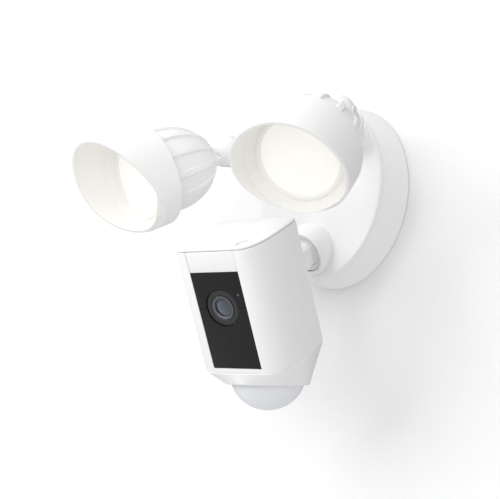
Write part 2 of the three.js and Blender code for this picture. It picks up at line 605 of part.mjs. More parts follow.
function buildInside(camera) {
  part(camera, 'image_sensor_board', moved(block(26, 1.6, 26), 0, 20.2, LENS_HEIGHT), board);
  part(camera, 'main_board', moved(block(50, 1.6, 66), 0, 38, 0), board);
  part(camera, 'shield_can', moved(block(30, 3, 30), 0, 35.4, 4), steel);
  const speaker = join(rod(12, 6, 12, 32), rod(8, 11.9, 17, 32));
  part(camera, 'speaker', moved(speaker, 0, 0, -19), component);
  part(camera, 'microphone', moved(rod(3, 3, 6, 12), -13, 0, LENS_HEIGHT + 20), component);
  const screws = [[-6, 6], [6, 6], [-6, -6], [6, -6]].map(([x, z]) =>
    moved(rod(1.4, 46.9, 57.6, 12), x, 0, z));
  const clamp = join(moved(block(20, 2, 20), 0, 46, 0), ...screws);
  part(camera, 'stem_clamp', moved(clamp, 0, 0, STEM_HEIGHT), steel);
}

/** Points of the plan outline at a height. */
const planRing = (inset, height, count) =>
  plan(inset).getSpacedPoints(count).slice(0, count).map(({ x, y }) => new THREE.Vector3(x, y, height));

/** A circle on the slanted plane of the dome's rim, matched to the plan outline point by point. */
function rimRing(radius, lift, like) {
  const slope = Math.tan(radians(RIM_TILT));
  return like.map(({ x, y }) => {
    const angle = Math.atan2(y - RIM_CENTRE.y, x - RIM_CENTRE.x);
    const along = radius * Math.sin(angle);
    return new THREE.Vector3(RIM_CENTRE.x + radius * Math.cos(angle), RIM_CENTRE.y + along,
      RIM_CENTRE.z - slope * along + lift);
  });
}

function buildSensor(camera) {
  const count = 40;
  const outerTop = planRing(0, CAMERA_BOTTOM - GAP, count);
  const outer = loft([rimRing(RIM_RADIUS, 0, outerTop), outerTop]);
  const innerTop = planRing(WALL, CAMERA_BOTTOM, count);
  const inner = loft([rimRing(RIM_RADIUS - WALL - 0.6, 0.01, innerTop), innerTop]);
  const rimHole = placedOnRim(rod(RIM_RADIUS - WALL, -8, 3, ROUND));
  part(camera, 'sensor_collar', cut(outer, inner, rimHole), white);

  const sphere = arc(DOME_RADIUS, DOME_RADIUS, DOME_RADIUS - DOME_HEIGHT, -90, 0, 8);
  const outside = sphere.filter(([, y]) => y < 0);
  const inside = outside.map(([radius, y]) => [radius * 0.94, y * 0.9 + 0.1]).reverse();
  const dome = turned([...outside, [RIM_RADIUS - WALL - GAP, 0.2], [RIM_RADIUS - WALL - GAP, 2.5],
    [RIM_RADIUS - WALL - 2, 2.5], ...inside]);
  part(camera, 'sensor_dome', placedOnRim(dome), frosted);
  part(camera, 'motion_sensor', placedOnRim(join(rod(4.6, 2, 6), rod(3.6, 0, 2.1))), steel);
  part(camera, 'sensor_board', placedOnRim(rod(15, 6.3, 7.8, 24)), board);
}

/** Stands a piece turned about Y on the slanted rim, with its -Y side pointing out of the dome. */
const placedOnRim = (geometry) =>
  moved(geometry, RIM_CENTRE.x, RIM_CENTRE.y, RIM_CENTRE.z, 90 - RIM_TILT, 0, 0);

// ---------- the object ----------

const floodlightCamera = new THREE.Group();
buildBase(floodlightCamera);
LAMPS.forEach((lamp) => buildLampSide(floodlightCamera, lamp));
buildCamera(floodlightCamera);

export default floodlightCamera;
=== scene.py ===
"""Looks of the floodlight security camera: smooth shells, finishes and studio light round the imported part.

Shapes are drawn in millimetres in the same local frames as the part's own pieces (every turned piece stands
round Y, its front towards -Y) and are baked into metres in the row frame when a piece is made.
"""

import json
import math

import bmesh
import bpy
from mathutils import Matrix, Vector


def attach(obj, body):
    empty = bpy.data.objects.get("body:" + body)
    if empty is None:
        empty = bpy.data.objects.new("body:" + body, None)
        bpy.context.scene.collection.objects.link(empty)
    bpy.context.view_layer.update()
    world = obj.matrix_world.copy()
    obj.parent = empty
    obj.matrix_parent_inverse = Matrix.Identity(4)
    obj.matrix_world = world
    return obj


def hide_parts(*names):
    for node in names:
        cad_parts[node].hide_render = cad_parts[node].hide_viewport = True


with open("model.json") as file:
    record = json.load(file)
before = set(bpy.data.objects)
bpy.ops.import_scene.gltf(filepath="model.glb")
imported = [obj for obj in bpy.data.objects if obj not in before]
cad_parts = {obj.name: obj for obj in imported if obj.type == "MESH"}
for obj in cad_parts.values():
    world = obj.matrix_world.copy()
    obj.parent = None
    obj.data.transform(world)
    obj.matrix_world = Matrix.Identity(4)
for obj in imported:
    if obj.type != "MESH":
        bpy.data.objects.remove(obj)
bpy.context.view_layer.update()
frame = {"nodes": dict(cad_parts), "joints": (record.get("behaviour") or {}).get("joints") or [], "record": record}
joints = {joint["name"]: joint for joint in frame["joints"]}

# ---------- driving dimensions, in millimetres and degrees ----------

MM = 0.001
SIDES = 144                 # round a large turned piece
GAP = 0.3
WALL = 2.4

BASE_RADIUS = 68
FACE_RADIUS = 65
BASE_DEPTH = 25.2
FACE_RISE = 7
COVER_SEAT = -BASE_DEPTH + 3
HOUSING_BACK = -2.3
SKIRT = 1.6                 # the housing's thin edge round the foam pad
WIRE_HOLE_RADIUS = 11
WIRE_HOLE_HEIGHT = -27
SCREW_WINDOW = (20.4, 12, 11)
SCREW_PLACE = 39.7          # the windows over the bracket's slots, either side of the middle
GASKET_RADII = (56, 66)
ARM_ROOT = Vector((40, -31, 30))
ARM_RADIUS = 11.8
KNUCKLE_RADIUS = 12.5
LUG_WIDTH = 9
LUG_RADIUS = 12.2
NECK_HEIGHT = 16
SWIVEL_PLATE = 12.6         # pivot to the plate that joins the knuckle's cheeks
LUG_PAD_RADIUS = 8.5
PIN_RADIUS = 2.5
HEAD_RADIUS = 4.5
HEAD_SINK = 1.4
LOCK_CAP_RADIUS = 3.6
LOCK_CAP_TURN = 141

LAMPS = {"right": {"sign": 1, "tilt": 49.3}, "left": {"sign": -1, "tilt": 37.4}}
LAMP_REAR = 13.4
LAMP_RADIUS = 32
FLANGE_RADIUS = 34.6
LAMP_SHOULDER = 56
LAMP_MOUTH = 74
FIN_COUNT = 12
FIN_DEPTH = 2               # the panels between the fins lie this far below their tops
FIN_THICKNESS = 3
FIN_MIDDLE_RADIUS = 26      # where the fins' thickness is measured
FIN_ROOT = 0.9              # width of a fin's soft flank
LENS_PLACE = 77.8
LENS_RADIUS = 27
LENS_RING_PITCH = 1.8
BEZEL_DEPTH = 6             # the bezel slopes forward by this much to the hood
HOOD_REAR = 63.7
HOOD_REAR_RADIUS = 37.7
HOOD_FRONT_RADIUS = 38.4
HOOD_MIDDLE = 99.4
HOOD_SLANT = 22.9
HOOD_BOW = 205

BALL_RADIUS = 11.6
SOCKET_RADIUS = 19
SOCKET_MOUTH = 16.5
SOCKET_DROP = 34
STEM_REACH = 114.9
STEM_HEIGHT = 8
STEM_HALF = 8.8
STEM_CHAMFER = 3
STEM_NECK = 6.3

FRONT_HALF, SIDE_HALF, WIDEST = 20.9, 34.5, 26
BACK_HALF, BACK_CORNER, BACK_BULGE = 32.3, 57.5, 61.3
CAMERA_TOP = 48.2
CAMERA_BOTTOM = -37.6
CAP_THICKNESS = 1.5
PANEL_WIDTH = 38.6
PANEL_HEIGHT = 67.6
PANEL_DEPTH = 2
LENS_HEIGHT = 9
BARREL_RADIUS = 12.5
GRILLE_PITCH = 1.5
EYE_PLACE = (15, 18)
BUTTON_PLACE = (22.5, 9.5)
BUTTON_RADIUS = 5.3
RIM_CENTRE = Vector((0, 27.5, -58.3))
RIM_TILT = 24
RIM_RADIUS = 28
COLLAR_GAP = 0.06
DOME_RADIUS = 26.5
DOME_HEIGHT = 17.6


# ---------- frames of the moving bodies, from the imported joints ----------

def axes(x, y, z, origin):
    """A matrix that takes local millimetres along three row-frame directions to metres in the row frame."""
    turn = Matrix((x, y, z)).transposed().to_4x4()
    return Matrix.Translation(Vector(origin)) @ turn @ Matrix.Scale(MM, 4)


def knuckle_frame(side):
    """X is the tilt axis and Y runs back into the arm."""
    tilt = joints[f"lamp_tilt_{side}"]
    swivel = Vector(joints[f"lamp_swivel_{side}"]["axis"]).normalized()
    back = swivel if swivel.y > 0 else -swivel
    x = Vector(tilt["axis"]).normalized()
    return axes(x, back, x.cross(back), tilt["pos_m"])


def lamp_frame(side):
    return knuckle_frame(side) @ Matrix.Rotation(math.radians(LAMPS[side]["tilt"]), 4, "X")


def ball_frame():
    """Y runs from the camera into the ball, Z is the camera's own up."""
    back = -Vector(joints["camera_roll"]["axis"]).normalized()
    up = -Vector(joints["setup_button_press"]["axis"]).normalized()
    return axes(back.cross(up), back, up, joints["camera_roll"]["pos_m"])


ROW = Matrix.Scale(MM, 4)
BALL = ball_frame()
CAMERA = BALL @ Matrix.Translation((0, -STEM_REACH, -STEM_HEIGHT))
SOCKET = (Matrix.Translation(Vector(joints["camera_roll"]["pos_m"]))
          @ Matrix.Rotation(math.radians(SOCKET_DROP), 4, "X") @ ROW)
RIM = CAMERA @ Matrix.Translation(RIM_CENTRE) @ Matrix.Rotation(math.radians(90 - RIM_TILT), 4, "X")


# ---------- shapes, each returned as a bmesh in local millimetres ----------

def bezier(points, steps):
    """Points along a Bezier curve of any degree, its ends included."""
    found = []
    for i in range(steps + 1):
        level = [Vector(p) for p in points]
        while len(level) > 1:
            level = [a.lerp(b, i / steps) for a, b in zip(level, level[1:])]
        found.append(level[0])
    return found


def arc(radius, length, centre, start, end, steps):
    """Part of an ellipse round the Y axis as (radius, y) pairs, between two angles."""
    angles = [math.radians(start + (end - start) * i / steps) for i in range(steps + 1)]
    return [(radius * math.cos(a), centre + length * math.sin(a)) for a in angles]


def filleted(profile, radius=0.6, steps=4):
    """A closed outline with its corners rounded, apart from those on the axis."""
    rounded = []
    count = len(profile)
    for i, corner in enumerate(profile):
        here = Vector(corner)
        before = Vector(profile[i - 1]) - here
        after = Vector(profile[(i + 1) % count]) - here
        straight = before.length < 1e-6 or after.length < 1e-6 or before.angle(after) > math.radians(168)
        if here.x < 1e-6 or straight:
            rounded.append(here)
            continue
        reach = min(radius, 0.45 * before.length, 0.45 * after.length)
        enter = here + before.normalized() * reach
        leave = here + after.normalized() * reach
        rounded += bezier([enter, here, leave], steps)
    return rounded


def skin(rings, closed=False):
    """A bmesh over rings of equally many points; a closed one joins its last ring to its first."""
    mesh = bmesh.new()
    loops = [[mesh.verts.new(p) for p in ring] for ring in rings]
    count = len(rings[0])
    pairs = list(zip(loops, loops[1:] + ([loops[0]] if closed else [])))
    for low, high in pairs:
        for i in range(count):
            j = (i + 1) % count
            mesh.faces.new((low[i], low[j], high[j], high[i]))
    if not closed:
        mesh.faces.new(loops[0][::-1])
        mesh.faces.new(loops[-1])
    return tidied(mesh)


def tidied(mesh):
    """Merges doubled points, drops what collapses and turns the faces outwards."""
    bmesh.ops.remove_doubles(mesh, verts=mesh.verts, dist=1e-4)
    bmesh.ops.dissolve_degenerate(mesh, dist=1e-5, edges=mesh.edges)
    bmesh.ops.recalc_face_normals(mesh, faces=mesh.faces)
    return mesh


def turned(profile, sides=SIDES):
    """A solid of revolution about Y from a closed outline of (radius, y) pairs."""
    rings = []
    for radius, y in profile:
        angles = [2 * math.pi * i / sides for i in range(sides)]
        rings.append([(radius * math.cos(a), y, radius * math.sin(a)) for a in angles])
    return skin(rings, closed=True)


def disc(radius, back, front, fillet=0.5, sides=64):
    return turned(filleted([(0, back), (radius, back), (radius, front), (0, front)], fillet), sides)


def block(width, depth, height, fillet=0.5):
    """A box round the origin with rounded edges."""
    mesh = bmesh.new()
    bmesh.ops.create_cube(mesh, size=1, matrix=Matrix.Diagonal((width, depth, height, 1)))
    if fillet:
        bmesh.ops.bevel(mesh, geom=list(mesh.edges), offset=fillet, segments=3, profile=0.5, affect="EDGES")
    return mesh


def moved(mesh, x=0, y=0, z=0, turn=None):
    """The shape after a turn, given as (degrees, axis), and a shift."""
    matrix = Matrix.Translation((x, y, z))
    if turn:
        matrix = matrix @ Matrix.Rotation(math.radians(turn[0]), 4, turn[1])
    bmesh.ops.transform(mesh, matrix=matrix, verts=mesh.verts)
    return mesh


def together(*meshes):
    """Several shapes in one mesh."""
    whole = meshes[0]
    for mesh in meshes[1:]:
        part = bpy.data.meshes.new("part")
        mesh.to_mesh(part)
        whole.from_mesh(part)
        bpy.data.meshes.remove(part)
        mesh.free()
    return whole


# ---------- pieces ----------

def piece(name, shape, place, material, body, replaces=(), cuts=(), crease=32):
    """A finished object: the shape baked into the row frame, less its cuts, riding on a body."""
    made = bare(name, shape, place)
    for index, cut in enumerate(cuts):
        subtract(made, bare(f"{name}_cut_{index}", cut, place))
    made.data.materials.clear()
    for finish in material if isinstance(material, (list, tuple)) else [material]:
        made.data.materials.append(finish)
    made.data.shade_smooth()
    made.data.set_sharp_from_angle(angle=math.radians(crease))
    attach(made, body)
    if replaces:
        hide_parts(*replaces)
    return made


def bare(name, shape, place):
    """An object whose mesh holds the shape in metres; its UV map keeps the local X and Z in millimetres."""
    local = shape.loops.layers.uv.new("Local")
    for face in shape.faces:
        for loop in face.loops:
            loop[local].uv = (loop.vert.co.x, loop.vert.co.z)
    bmesh.ops.transform(shape, matrix=place, verts=shape.verts)
    data = bpy.data.meshes.new(name)
    shape.to_mesh(data)
    shape.free()
    made = bpy.data.objects.new(name, data)
    bpy.context.scene.collection.objects.link(made)
    return made


def subtract(whole, cutter):
    modifier = whole.modifiers.new("cut", "BOOLEAN")
    modifier.object = cutter
    modifier.solver = "EXACT"
    graph = bpy.context.evaluated_depsgraph_get()
    result = bpy.data.meshes.new_from_object(whole.evaluated_get(graph))
    whole.modifiers.clear()
    whole.data = result
    bpy.data.objects.remove(cutter)


slots = {entry["node"]: entry["material_slot"] for entry in frame["record"]["subparts"]}


# ---------- materials ----------

class Nodes:
    """A material's node tree with short calls to add and join nodes."""

    def __init__(self, name):
        self.material = bpy.data.materials.new(name)
        self.material.use_nodes = True
        self.tree = self.material.node_tree
        self.shader = self.tree.nodes["Principled BSDF"]

    def add(self, kind, inputs=None, **settings):
        node = self.tree.nodes.new(kind)
        for key, value in settings.items():
            setattr(node, key, value)
        for key, value in (inputs or {}).items():
            self.feed(node.inputs[key], value)
        return node

    def feed(self, socket, value):
        if isinstance(value, bpy.types.NodeSocket):
            self.tree.links.new(value, socket)
        else:
            socket.default_value = value

    def set(self, **values):
        for key, value in values.items():
            self.feed(self.shader.inputs[key.replace("_", " ")], value)

    def coordinates(self):
        return self.add("ShaderNodeTexCoord").outputs["Object"]

    def noise(self, scale, detail=3, source=None):
        inputs = {"Vector": source or self.coordinates(), "Scale": scale, "Detail": detail}
        return self.add("ShaderNodeTexNoise", inputs).outputs["Fac"]

    def ramp(self, factor, *stops):
        """A colour ramp through (position, colour) stops."""
        node = self.add("ShaderNodeValToRGB", {"Fac": factor})
        elements = node.color_ramp.elements
        while len(elements) < len(stops):
            elements.new(0.5)
        for element, (position, color) in zip(elements, stops):
            element.position = position
            element.color = color
        return node.outputs["Color"]

    def math(self, operation, first, second=0.0):
        node = self.add("ShaderNodeMath", {0: first, 1: second}, operation=operation)
        return node.outputs["Value"]

    def range(self, value, low, high, start=0.0, end=1.0):
        inputs = {"Value": value, "From Min": start, "From Max": end, "To Min": low, "To Max": high}
        return self.add("ShaderNodeMapRange", inputs).outputs["Result"]

    def tint(self, factor, first, second):
        inputs = {"Factor": factor, "A": first, "B": second}
        node = self.add("ShaderNodeMix", data_type="RGBA")
        sockets = {s.name: s for s in node.inputs if s.enabled}
        for key, value in inputs.items():
            self.feed(sockets[key], value)
        return next(s for s in node.outputs if s.enabled)

    def bump(self, height, distance, strength=1.0):
        inputs = {"Height": height, "Distance": distance, "Strength": strength}
        self.set(Normal=self.add("ShaderNodeBump", inputs).outputs["Normal"])

    def pointiness(self):
        """Near 0 in creases, 0.5 on the flat and 1 on edges, widened for a dense mesh."""
        return self.range(self.add("ShaderNodeNewGeometry").outputs["Pointiness"], 0, 1, 0.42, 0.58)


def gray(value, alpha=1.0):
    return (value, value, value, alpha)


def shaded(color, factor):
    return (color[0] * factor, color[1] * factor, color[2] * factor, 1)


def moulded(name, color, roughness, grain=2600, depth=0.00001, coat=0.0):
    """Moulded plastic: spark-eroded grain, faint flow marks, painted shade in creases and a painted highlight on
    edges.
    """
    nodes = Nodes(name)
    flow = nodes.noise(22, 4)
    speckle = nodes.noise(grain, 2)
    body = nodes.tint(flow, shaded(color, 0.985), shaded(color, 1.0))
    # painted shade: darker in creases
    creases = nodes.ramp(nodes.pointiness(), (0.0, gray(1)), (0.45, gray(0)))
    crease_shaded = nodes.tint(creases, body, shaded(color, 0.97))
    # painted highlight: lighter on convex edges
    edge_highlight = nodes.ramp(nodes.pointiness(), (0.62, gray(0)), (1.0, gray(0.6)))
    nodes.set(Base_Color=nodes.tint(edge_highlight, crease_shaded, shaded(color, 1.03)))
    uneven = nodes.math("ADD", nodes.math("MULTIPLY", flow, 0.1), nodes.math("MULTIPLY", speckle, 0.08))
    nodes.set(Roughness=nodes.math("ADD", uneven, roughness - 0.09))
    nodes.set(Coat_Weight=coat, Coat_Roughness=0.3)
    nodes.bump(speckle, depth, 0.5)
    return nodes.material


def coated_metal():
    """White powder coat: orange peel with fine pits, and painted shade that greys its creases."""
    nodes = Nodes("powder_coat")
    peel = nodes.noise(700, 2)
    fine = nodes.noise(3600, 2)
    drift = nodes.noise(16, 3)
    color = (0.9, 0.9, 0.895)
    body = nodes.tint(drift, shaded(color, 0.985), shaded(color, 1.0))
    # painted shade: greyer in creases
    crease_shade = nodes.ramp(nodes.pointiness(), (0.0, gray(0.8)), (0.42, gray(0)))
    nodes.set(Base_Color=nodes.tint(crease_shade, body, shaded(color, 0.95)))
    nodes.set(Roughness=nodes.range(nodes.math("ADD", peel, drift), 0.4, 0.56, 0.4, 1.6))
    nodes.bump(nodes.math("ADD", peel, nodes.math("MULTIPLY", fine, 0.4)), 0.00003, 0.35)
    return nodes.material


def gloss_black(name, color, perforated=False):
    """Black window plastic; a perforated one has fine holes on a diagonal grid in the local UV map."""
    nodes = Nodes(name)
    smudge = nodes.noise(60, 5)
    fine = nodes.noise(2400, 2)
    surface = nodes.tint(smudge, shaded(color, 0.9), shaded(color, 1.15))
    nodes.set(Roughness=nodes.range(smudge, 0.22, 0.36), Specular_IOR_Level=0.24)
    if perforated:
        flat = nodes.add("ShaderNodeUVMap", uv_map="Local").outputs["UV"]
        local = nodes.add("ShaderNodeSeparateXYZ", {0: flat})
        pitch = 2 * math.pi / GRILLE_PITCH
        waves = [nodes.math("SINE", nodes.math("MULTIPLY", local.outputs[axis], pitch)) for axis in "XY"]
        grid = nodes.math("MULTIPLY", *waves)
        holes = nodes.range(grid, 0, 1, 0.15, 0.5)
        surface = nodes.tint(holes, surface, shaded(color, 0.25))
        nodes.bump(nodes.math("SUBTRACT", fine, nodes.math("MULTIPLY", holes, 6.0)), 0.00004, 0.6)
    else:
        nodes.bump(fine, 0.000004, 0.4)
    nodes.set(Base_Color=surface)
    return nodes.material


def lamp_diffuser():
    """Frosted lens, lit warm from behind, brightest over the LED and crossed by fine pressed rings."""
    nodes = Nodes("lamp_diffuser")
    local = nodes.add("ShaderNodeUVMap", uv_map="Local").outputs["UV"]
    radius = nodes.add("ShaderNodeVectorMath", {0: local}, operation="LENGTH").outputs["Value"]
    frost = nodes.noise(1500, 3)
    glow = nodes.ramp(
        nodes.range(radius, 0, 1, 0, LENS_RADIUS),
        (0.0, (1.0, 0.985, 0.94, 1)), (0.6, (1.0, 0.98, 0.925, 1)), (1.0, (0.95, 0.93, 0.87, 1)),
    )
    nodes.set(Base_Color=nodes.tint(frost, (0.8, 0.79, 0.76, 1), (0.84, 0.83, 0.8, 1)))
    nodes.set(Roughness=nodes.range(frost, 0.3, 0.45), Emission_Color=glow, Emission_Strength=0.3)
    rings = nodes.math("SINE", nodes.math("MULTIPLY", radius, 2 * math.pi / LENS_RING_PITCH))
    nodes.bump(nodes.math("ADD", nodes.math("MULTIPLY", rings, 0.4), frost), 0.00003, 0.5)
    return nodes.material


def lit_hood_lining():
    """The hood's inside: the same coat painted lighter and warmer, painted light that stands in for the lamp light
    inside the hood.
    """
    nodes = Nodes("lit_hood_lining")
    peel = nodes.noise(700, 2)
    drift = nodes.noise(30, 3)
    # painted light: lighter and warmer than the outside coat
    nodes.set(Base_Color=nodes.tint(drift, (0.965, 0.95, 0.915, 1), (0.98, 0.965, 0.935, 1)))
    nodes.set(Roughness=nodes.range(peel, 0.42, 0.56))
    nodes.bump(peel, 0.00003, 0.3)
    return nodes.material


def frosted_dome():
    """Milky blue-grey sensor lens over a faceted inside."""
    nodes = Nodes("frosted_dome")
    local = nodes.add("ShaderNodeUVMap", uv_map="Local").outputs["UV"]
    cells = nodes.add("ShaderNodeTexVoronoi", {"Vector": local, "Scale": 0.2}, feature="F1")
    milk = nodes.noise(90, 3)
    color = nodes.tint(milk, (0.79, 0.805, 0.84, 1), (0.84, 0.855, 0.885, 1))
    facet = nodes.range(cells.outputs["Distance"], 0, 0.16, 0.2, 0.8)
    nodes.set(Base_Color=nodes.tint(facet, color, (0.87, 0.885, 0.91, 1)))
    nodes.set(Roughness=nodes.range(milk, 0.24, 0.36))
    nodes.set(Subsurface_Weight=0.25, Subsurface_Radius=(0.004, 0.004, 0.005), Coat_Weight=0.3)
    nodes.set(Coat_Roughness=0.15)
    nodes.bump(nodes.noise(1800, 2), 0.000008, 0.4)
    return nodes.material


def lens_glass():
    """Dark coated glass whose colour turns violet-blue at grazing angles, a painted reflection of its coating."""
    nodes = Nodes("camera_glass")
    # painted reflection: the colour turns blue towards grazing angles
    grazing_reflection = nodes.add("ShaderNodeLayerWeight", {"Blend": 0.35}).outputs["Facing"]
    haze = nodes.noise(120, 3)
    deep = nodes.tint(haze, (0.012, 0.016, 0.03, 1), (0.02, 0.028, 0.05, 1))
    nodes.set(Base_Color=nodes.tint(grazing_reflection, deep, (0.1, 0.13, 0.22, 1)))
    nodes.set(Roughness=nodes.range(haze, 0.04, 0.1))
    nodes.set(Coat_Weight=1.0, Coat_Roughness=0.03, IOR=1.6)
    return nodes.material


def plated_steel(name="zinc_plate", color=(0.62, 0.63, 0.65), roughness=0.32):
    """Zinc-plated sheet: brushed one way, with a cloudy passivated film."""
    nodes = Nodes(name)
    stretch = nodes.add("ShaderNodeMapping", {"Vector": nodes.coordinates(), "Scale": (40, 900, 900)})
    brushed = nodes.noise(4, 4, stretch.outputs["Vector"])
    cloud = nodes.noise(70, 4)
    nodes.set(Base_Color=nodes.tint(cloud, shaded(color, 0.88), shaded(color, 1.08)), Metallic=1.0)
    nodes.set(Roughness=nodes.range(brushed, roughness - 0.08, roughness + 0.14))
    nodes.bump(brushed, 0.00001, 0.4)
    return nodes.material


def circuit_board():
    """Green solder mask with fainter copper tracks under it."""
    nodes = Nodes("circuit_board")
    tracks = nodes.add("ShaderNodeTexBrick", {"Vector": nodes.coordinates(), "Scale": 160.0,
                                              "Color1": gray(1), "Color2": gray(0.6), "Mortar": gray(0)})
    green = nodes.tint(tracks.outputs["Fac"], (0.02, 0.16, 0.07, 1), (0.03, 0.26, 0.11, 1))
    nodes.set(Base_Color=green, Roughness=nodes.range(nodes.noise(400), 0.3, 0.5))
    nodes.bump(tracks.outputs["Fac"], 0.00003, 0.4)
    return nodes.material


def foam(name, color):
    """Closed-cell foam: pitted and matt."""
    nodes = Nodes(name)
    inputs = {"Vector": nodes.coordinates(), "Scale": 1400.0}
    cells = nodes.add("ShaderNodeTexVoronoi", inputs).outputs["Distance"]
    nodes.set(Base_Color=nodes.tint(cells, shaded(color, 0.8), shaded(color, 1.4)))
    nodes.set(Roughness=nodes.range(cells, 0.8, 0.95))
    nodes.bump(cells, 0.0001, 0.7)
    return nodes.material


WHITE = moulded("white_plastic", (0.9, 0.9, 0.896), 0.42)
WHITE_SATIN = moulded("white_satin", (0.9, 0.9, 0.897), 0.32, grain=3200, depth=0.000006, coat=0.15)
COAT = coated_metal()
LIT_LINING = lit_hood_lining()
GLOSS_BLACK = gloss_black("gloss_black", (0.01, 0.01, 0.011))
GRILLE_BLACK = gloss_black("grille_black", (0.013, 0.013, 0.014), perforated=True)
BARREL_BLACK = moulded("barrel_black", (0.018, 0.018, 0.02), 0.38, grain=4000)
RING_GREY = plated_steel("lens_ring_grey", (0.16, 0.165, 0.175), 0.34)
GLASS = lens_glass()
DIFFUSER = lamp_diffuser()
DOME = frosted_dome()
STEEL = plated_steel()
CHROME = plated_steel("vacuum_plate", (0.85, 0.85, 0.86), 0.14)
ALUMINIUM = plated_steel("aluminium", (0.76, 0.77, 0.78), 0.38)
BOARD = circuit_board()
COMPONENT = moulded("component_black", (0.04, 0.04, 0.042), 0.5)
NYLON = moulded("nylon", (0.84, 0.835, 0.82), 0.5)
FOAM = foam("gasket_foam", (0.035, 0.035, 0.037))
PHOSPHOR = foam("phosphor", (0.75, 0.5, 0.08))

FINISHES = {
    "white_plastic": WHITE, "coated_metal": COAT, "black_plastic": GLOSS_BLACK, "black_component": COMPONENT,
    "smoked_glass": GLASS, "frosted_plastic": DOME, "diffuser": DIFFUSER, "mirror_finish": CHROME,
    "steel": STEEL, "aluminium": ALUMINIUM, "board": BOARD, "nylon": NYLON,
    "rubber": FOAM, "phosphor": PHOSPHOR,
}


def finish_cad_nodes():
    """Gives every node that is still shown the finish of its slot."""
    for name, node in frame["nodes"].items():
        node.data.materials.clear()
        node.data.materials.append(FINISHES[slots[name]])


# ---------- the base ----------

def face_y(radius, inset=0):
    """Height of the crowned front face, moved in by inset."""
    return -(BASE_DEPTH + FACE_RISE * (1 - (radius / FACE_RADIUS) ** 2)) + inset


def build_base():
    steps = [FACE_RADIUS * i / 24 for i in range(25)]
    outside = [(r, face_y(r)) for r in steps]
    inside = [(r - WALL, face_y(r - WALL, WALL)) for r in steps[::-1] if r > WALL]
    rim = [(FACE_RADIUS, COVER_SEAT + 1), (FACE_RADIUS - WALL, COVER_SEAT + 1)]
    cover = turned(filleted([*outside, *rim, *inside, (0, face_y(0, WALL))], 0.9, 5), 192)
    bosses = [moved(arm_boss(), lamp["sign"] * ARM_ROOT.x, 0, ARM_ROOT.z) for lamp in LAMPS.values()]
    piece("cover_shell", together(cover, *bosses), ROW, WHITE, "base", ["base_cover"])

    skirt = turned(filleted([
        (0, HOUSING_BACK - 3), (BASE_RADIUS - WALL, HOUSING_BACK - 3), (FACE_RADIUS - WALL, COVER_SEAT),
        (FACE_RADIUS - 0.1, COVER_SEAT), (BASE_RADIUS, -GAP), (BASE_RADIUS - SKIRT, -GAP),
        (BASE_RADIUS - SKIRT, HOUSING_BACK), (0, HOUSING_BACK),
    ], 0.5), 192)
    wire_hole = moved(disc(WIRE_HOLE_RADIUS, -9, 2, 0), 0, 0, WIRE_HOLE_HEIGHT)
    windows = [moved(block(*SCREW_WINDOW, 0), side * SCREW_PLACE) for side in (-1, 1)]
    piece("skirt_shell", skirt, ROW, WHITE, "base", ["base_housing"], [wire_hole, *windows])

    inner, outer = GASKET_RADII
    gasket = turned(filleted([(inner, -2), (outer, -2), (outer, 0), (inner, 0)], 0.5), 160)
    piece("gasket_ring", gasket, ROW, FOAM, "base", ["wall_gasket"])


def arm_boss():
    """A low round boss with a soft root where an arm leaves the face."""
    return turned(filleted([
        (0, ARM_ROOT.y), (ARM_RADIUS + 1, ARM_ROOT.y), (ARM_RADIUS + 1.3, -28.6), (ARM_RADIUS + 3.4, -27.2),
        (ARM_RADIUS + 3.4, -25), (0, -25),
    ], 0.9), 72)


def build_socket():
    mouth = -math.sqrt(SOCKET_RADIUS ** 2 - SOCKET_MOUTH ** 2)
    reach = math.degrees(math.asin(-mouth / SOCKET_RADIUS))
    seat = SOCKET_RADIUS - 3
    cup = turned(filleted([
        *arc(SOCKET_RADIUS, SOCKET_RADIUS, 0, 70, -reach, 30), (SOCKET_MOUTH - 1, mouth),
        *arc(seat, seat, 0, -30, 0, 10), (seat, 9), (seat - 6, 13),
    ], 0.8))
    piece("socket_cup", cup, SOCKET, WHITE, "base", ["ball_socket"])


# ---------- the arms and lamps ----------

def build_arm(side):
    """An elbow that swells at its bend and ends in a collar against the knuckle."""
    sign = LAMPS[side]["sign"]
    place = knuckle_frame(side)
    pivot = place.translation / MM
    back = (place.to_3x3() @ Vector((0, 1, 0))).normalized()
    end = pivot + back * (KNUCKLE_RADIUS + 4)
    start = Vector((sign * ARM_ROOT.x, ARM_ROOT.y - GAP, ARM_ROOT.z))
    path = bezier([start, start + Vector((sign * 1.5, -8, 1.5)), end + back * 8, end], 28)
    rings = []
    for index, point in enumerate(path):
        ahead = path[min(index + 1, len(path) - 1)] - path[max(index - 1, 0)]
        t = index / (len(path) - 1)
        swell = ARM_RADIUS + 0.35 * math.sin(math.pi * t)
        rings.append(ring_across(point, ahead, swell))
    tube = skin(rings)
    for vert in tube.verts:
        vert.co.y = min(vert.co.y, start.y)
    collar = turned(filleted([
        (0, 0), (ARM_RADIUS + 0.9, 0), (ARM_RADIUS + 0.9, 3.2), (ARM_RADIUS, 4), (0, 4),
    ], 0.6), 72)
    piece(f"arm_shell_{side}", tube, ROW, WHITE, "base", [f"arm_{side}"])
    piece(f"arm_collar_{side}", collar, place @ Matrix.Translation((0, KNUCKLE_RADIUS + 4, 0)), WHITE, "base")


def ring_across(centre, direction, radius, sides=64):
    """A circle of points square to a direction."""
    turn = direction.to_track_quat("Y", "Z")
    angles = [2 * math.pi * i / sides for i in range(sides)]
    return [centre + turn @ Vector((radius * math.cos(a), 0, radius * math.sin(a))) for a in angles]


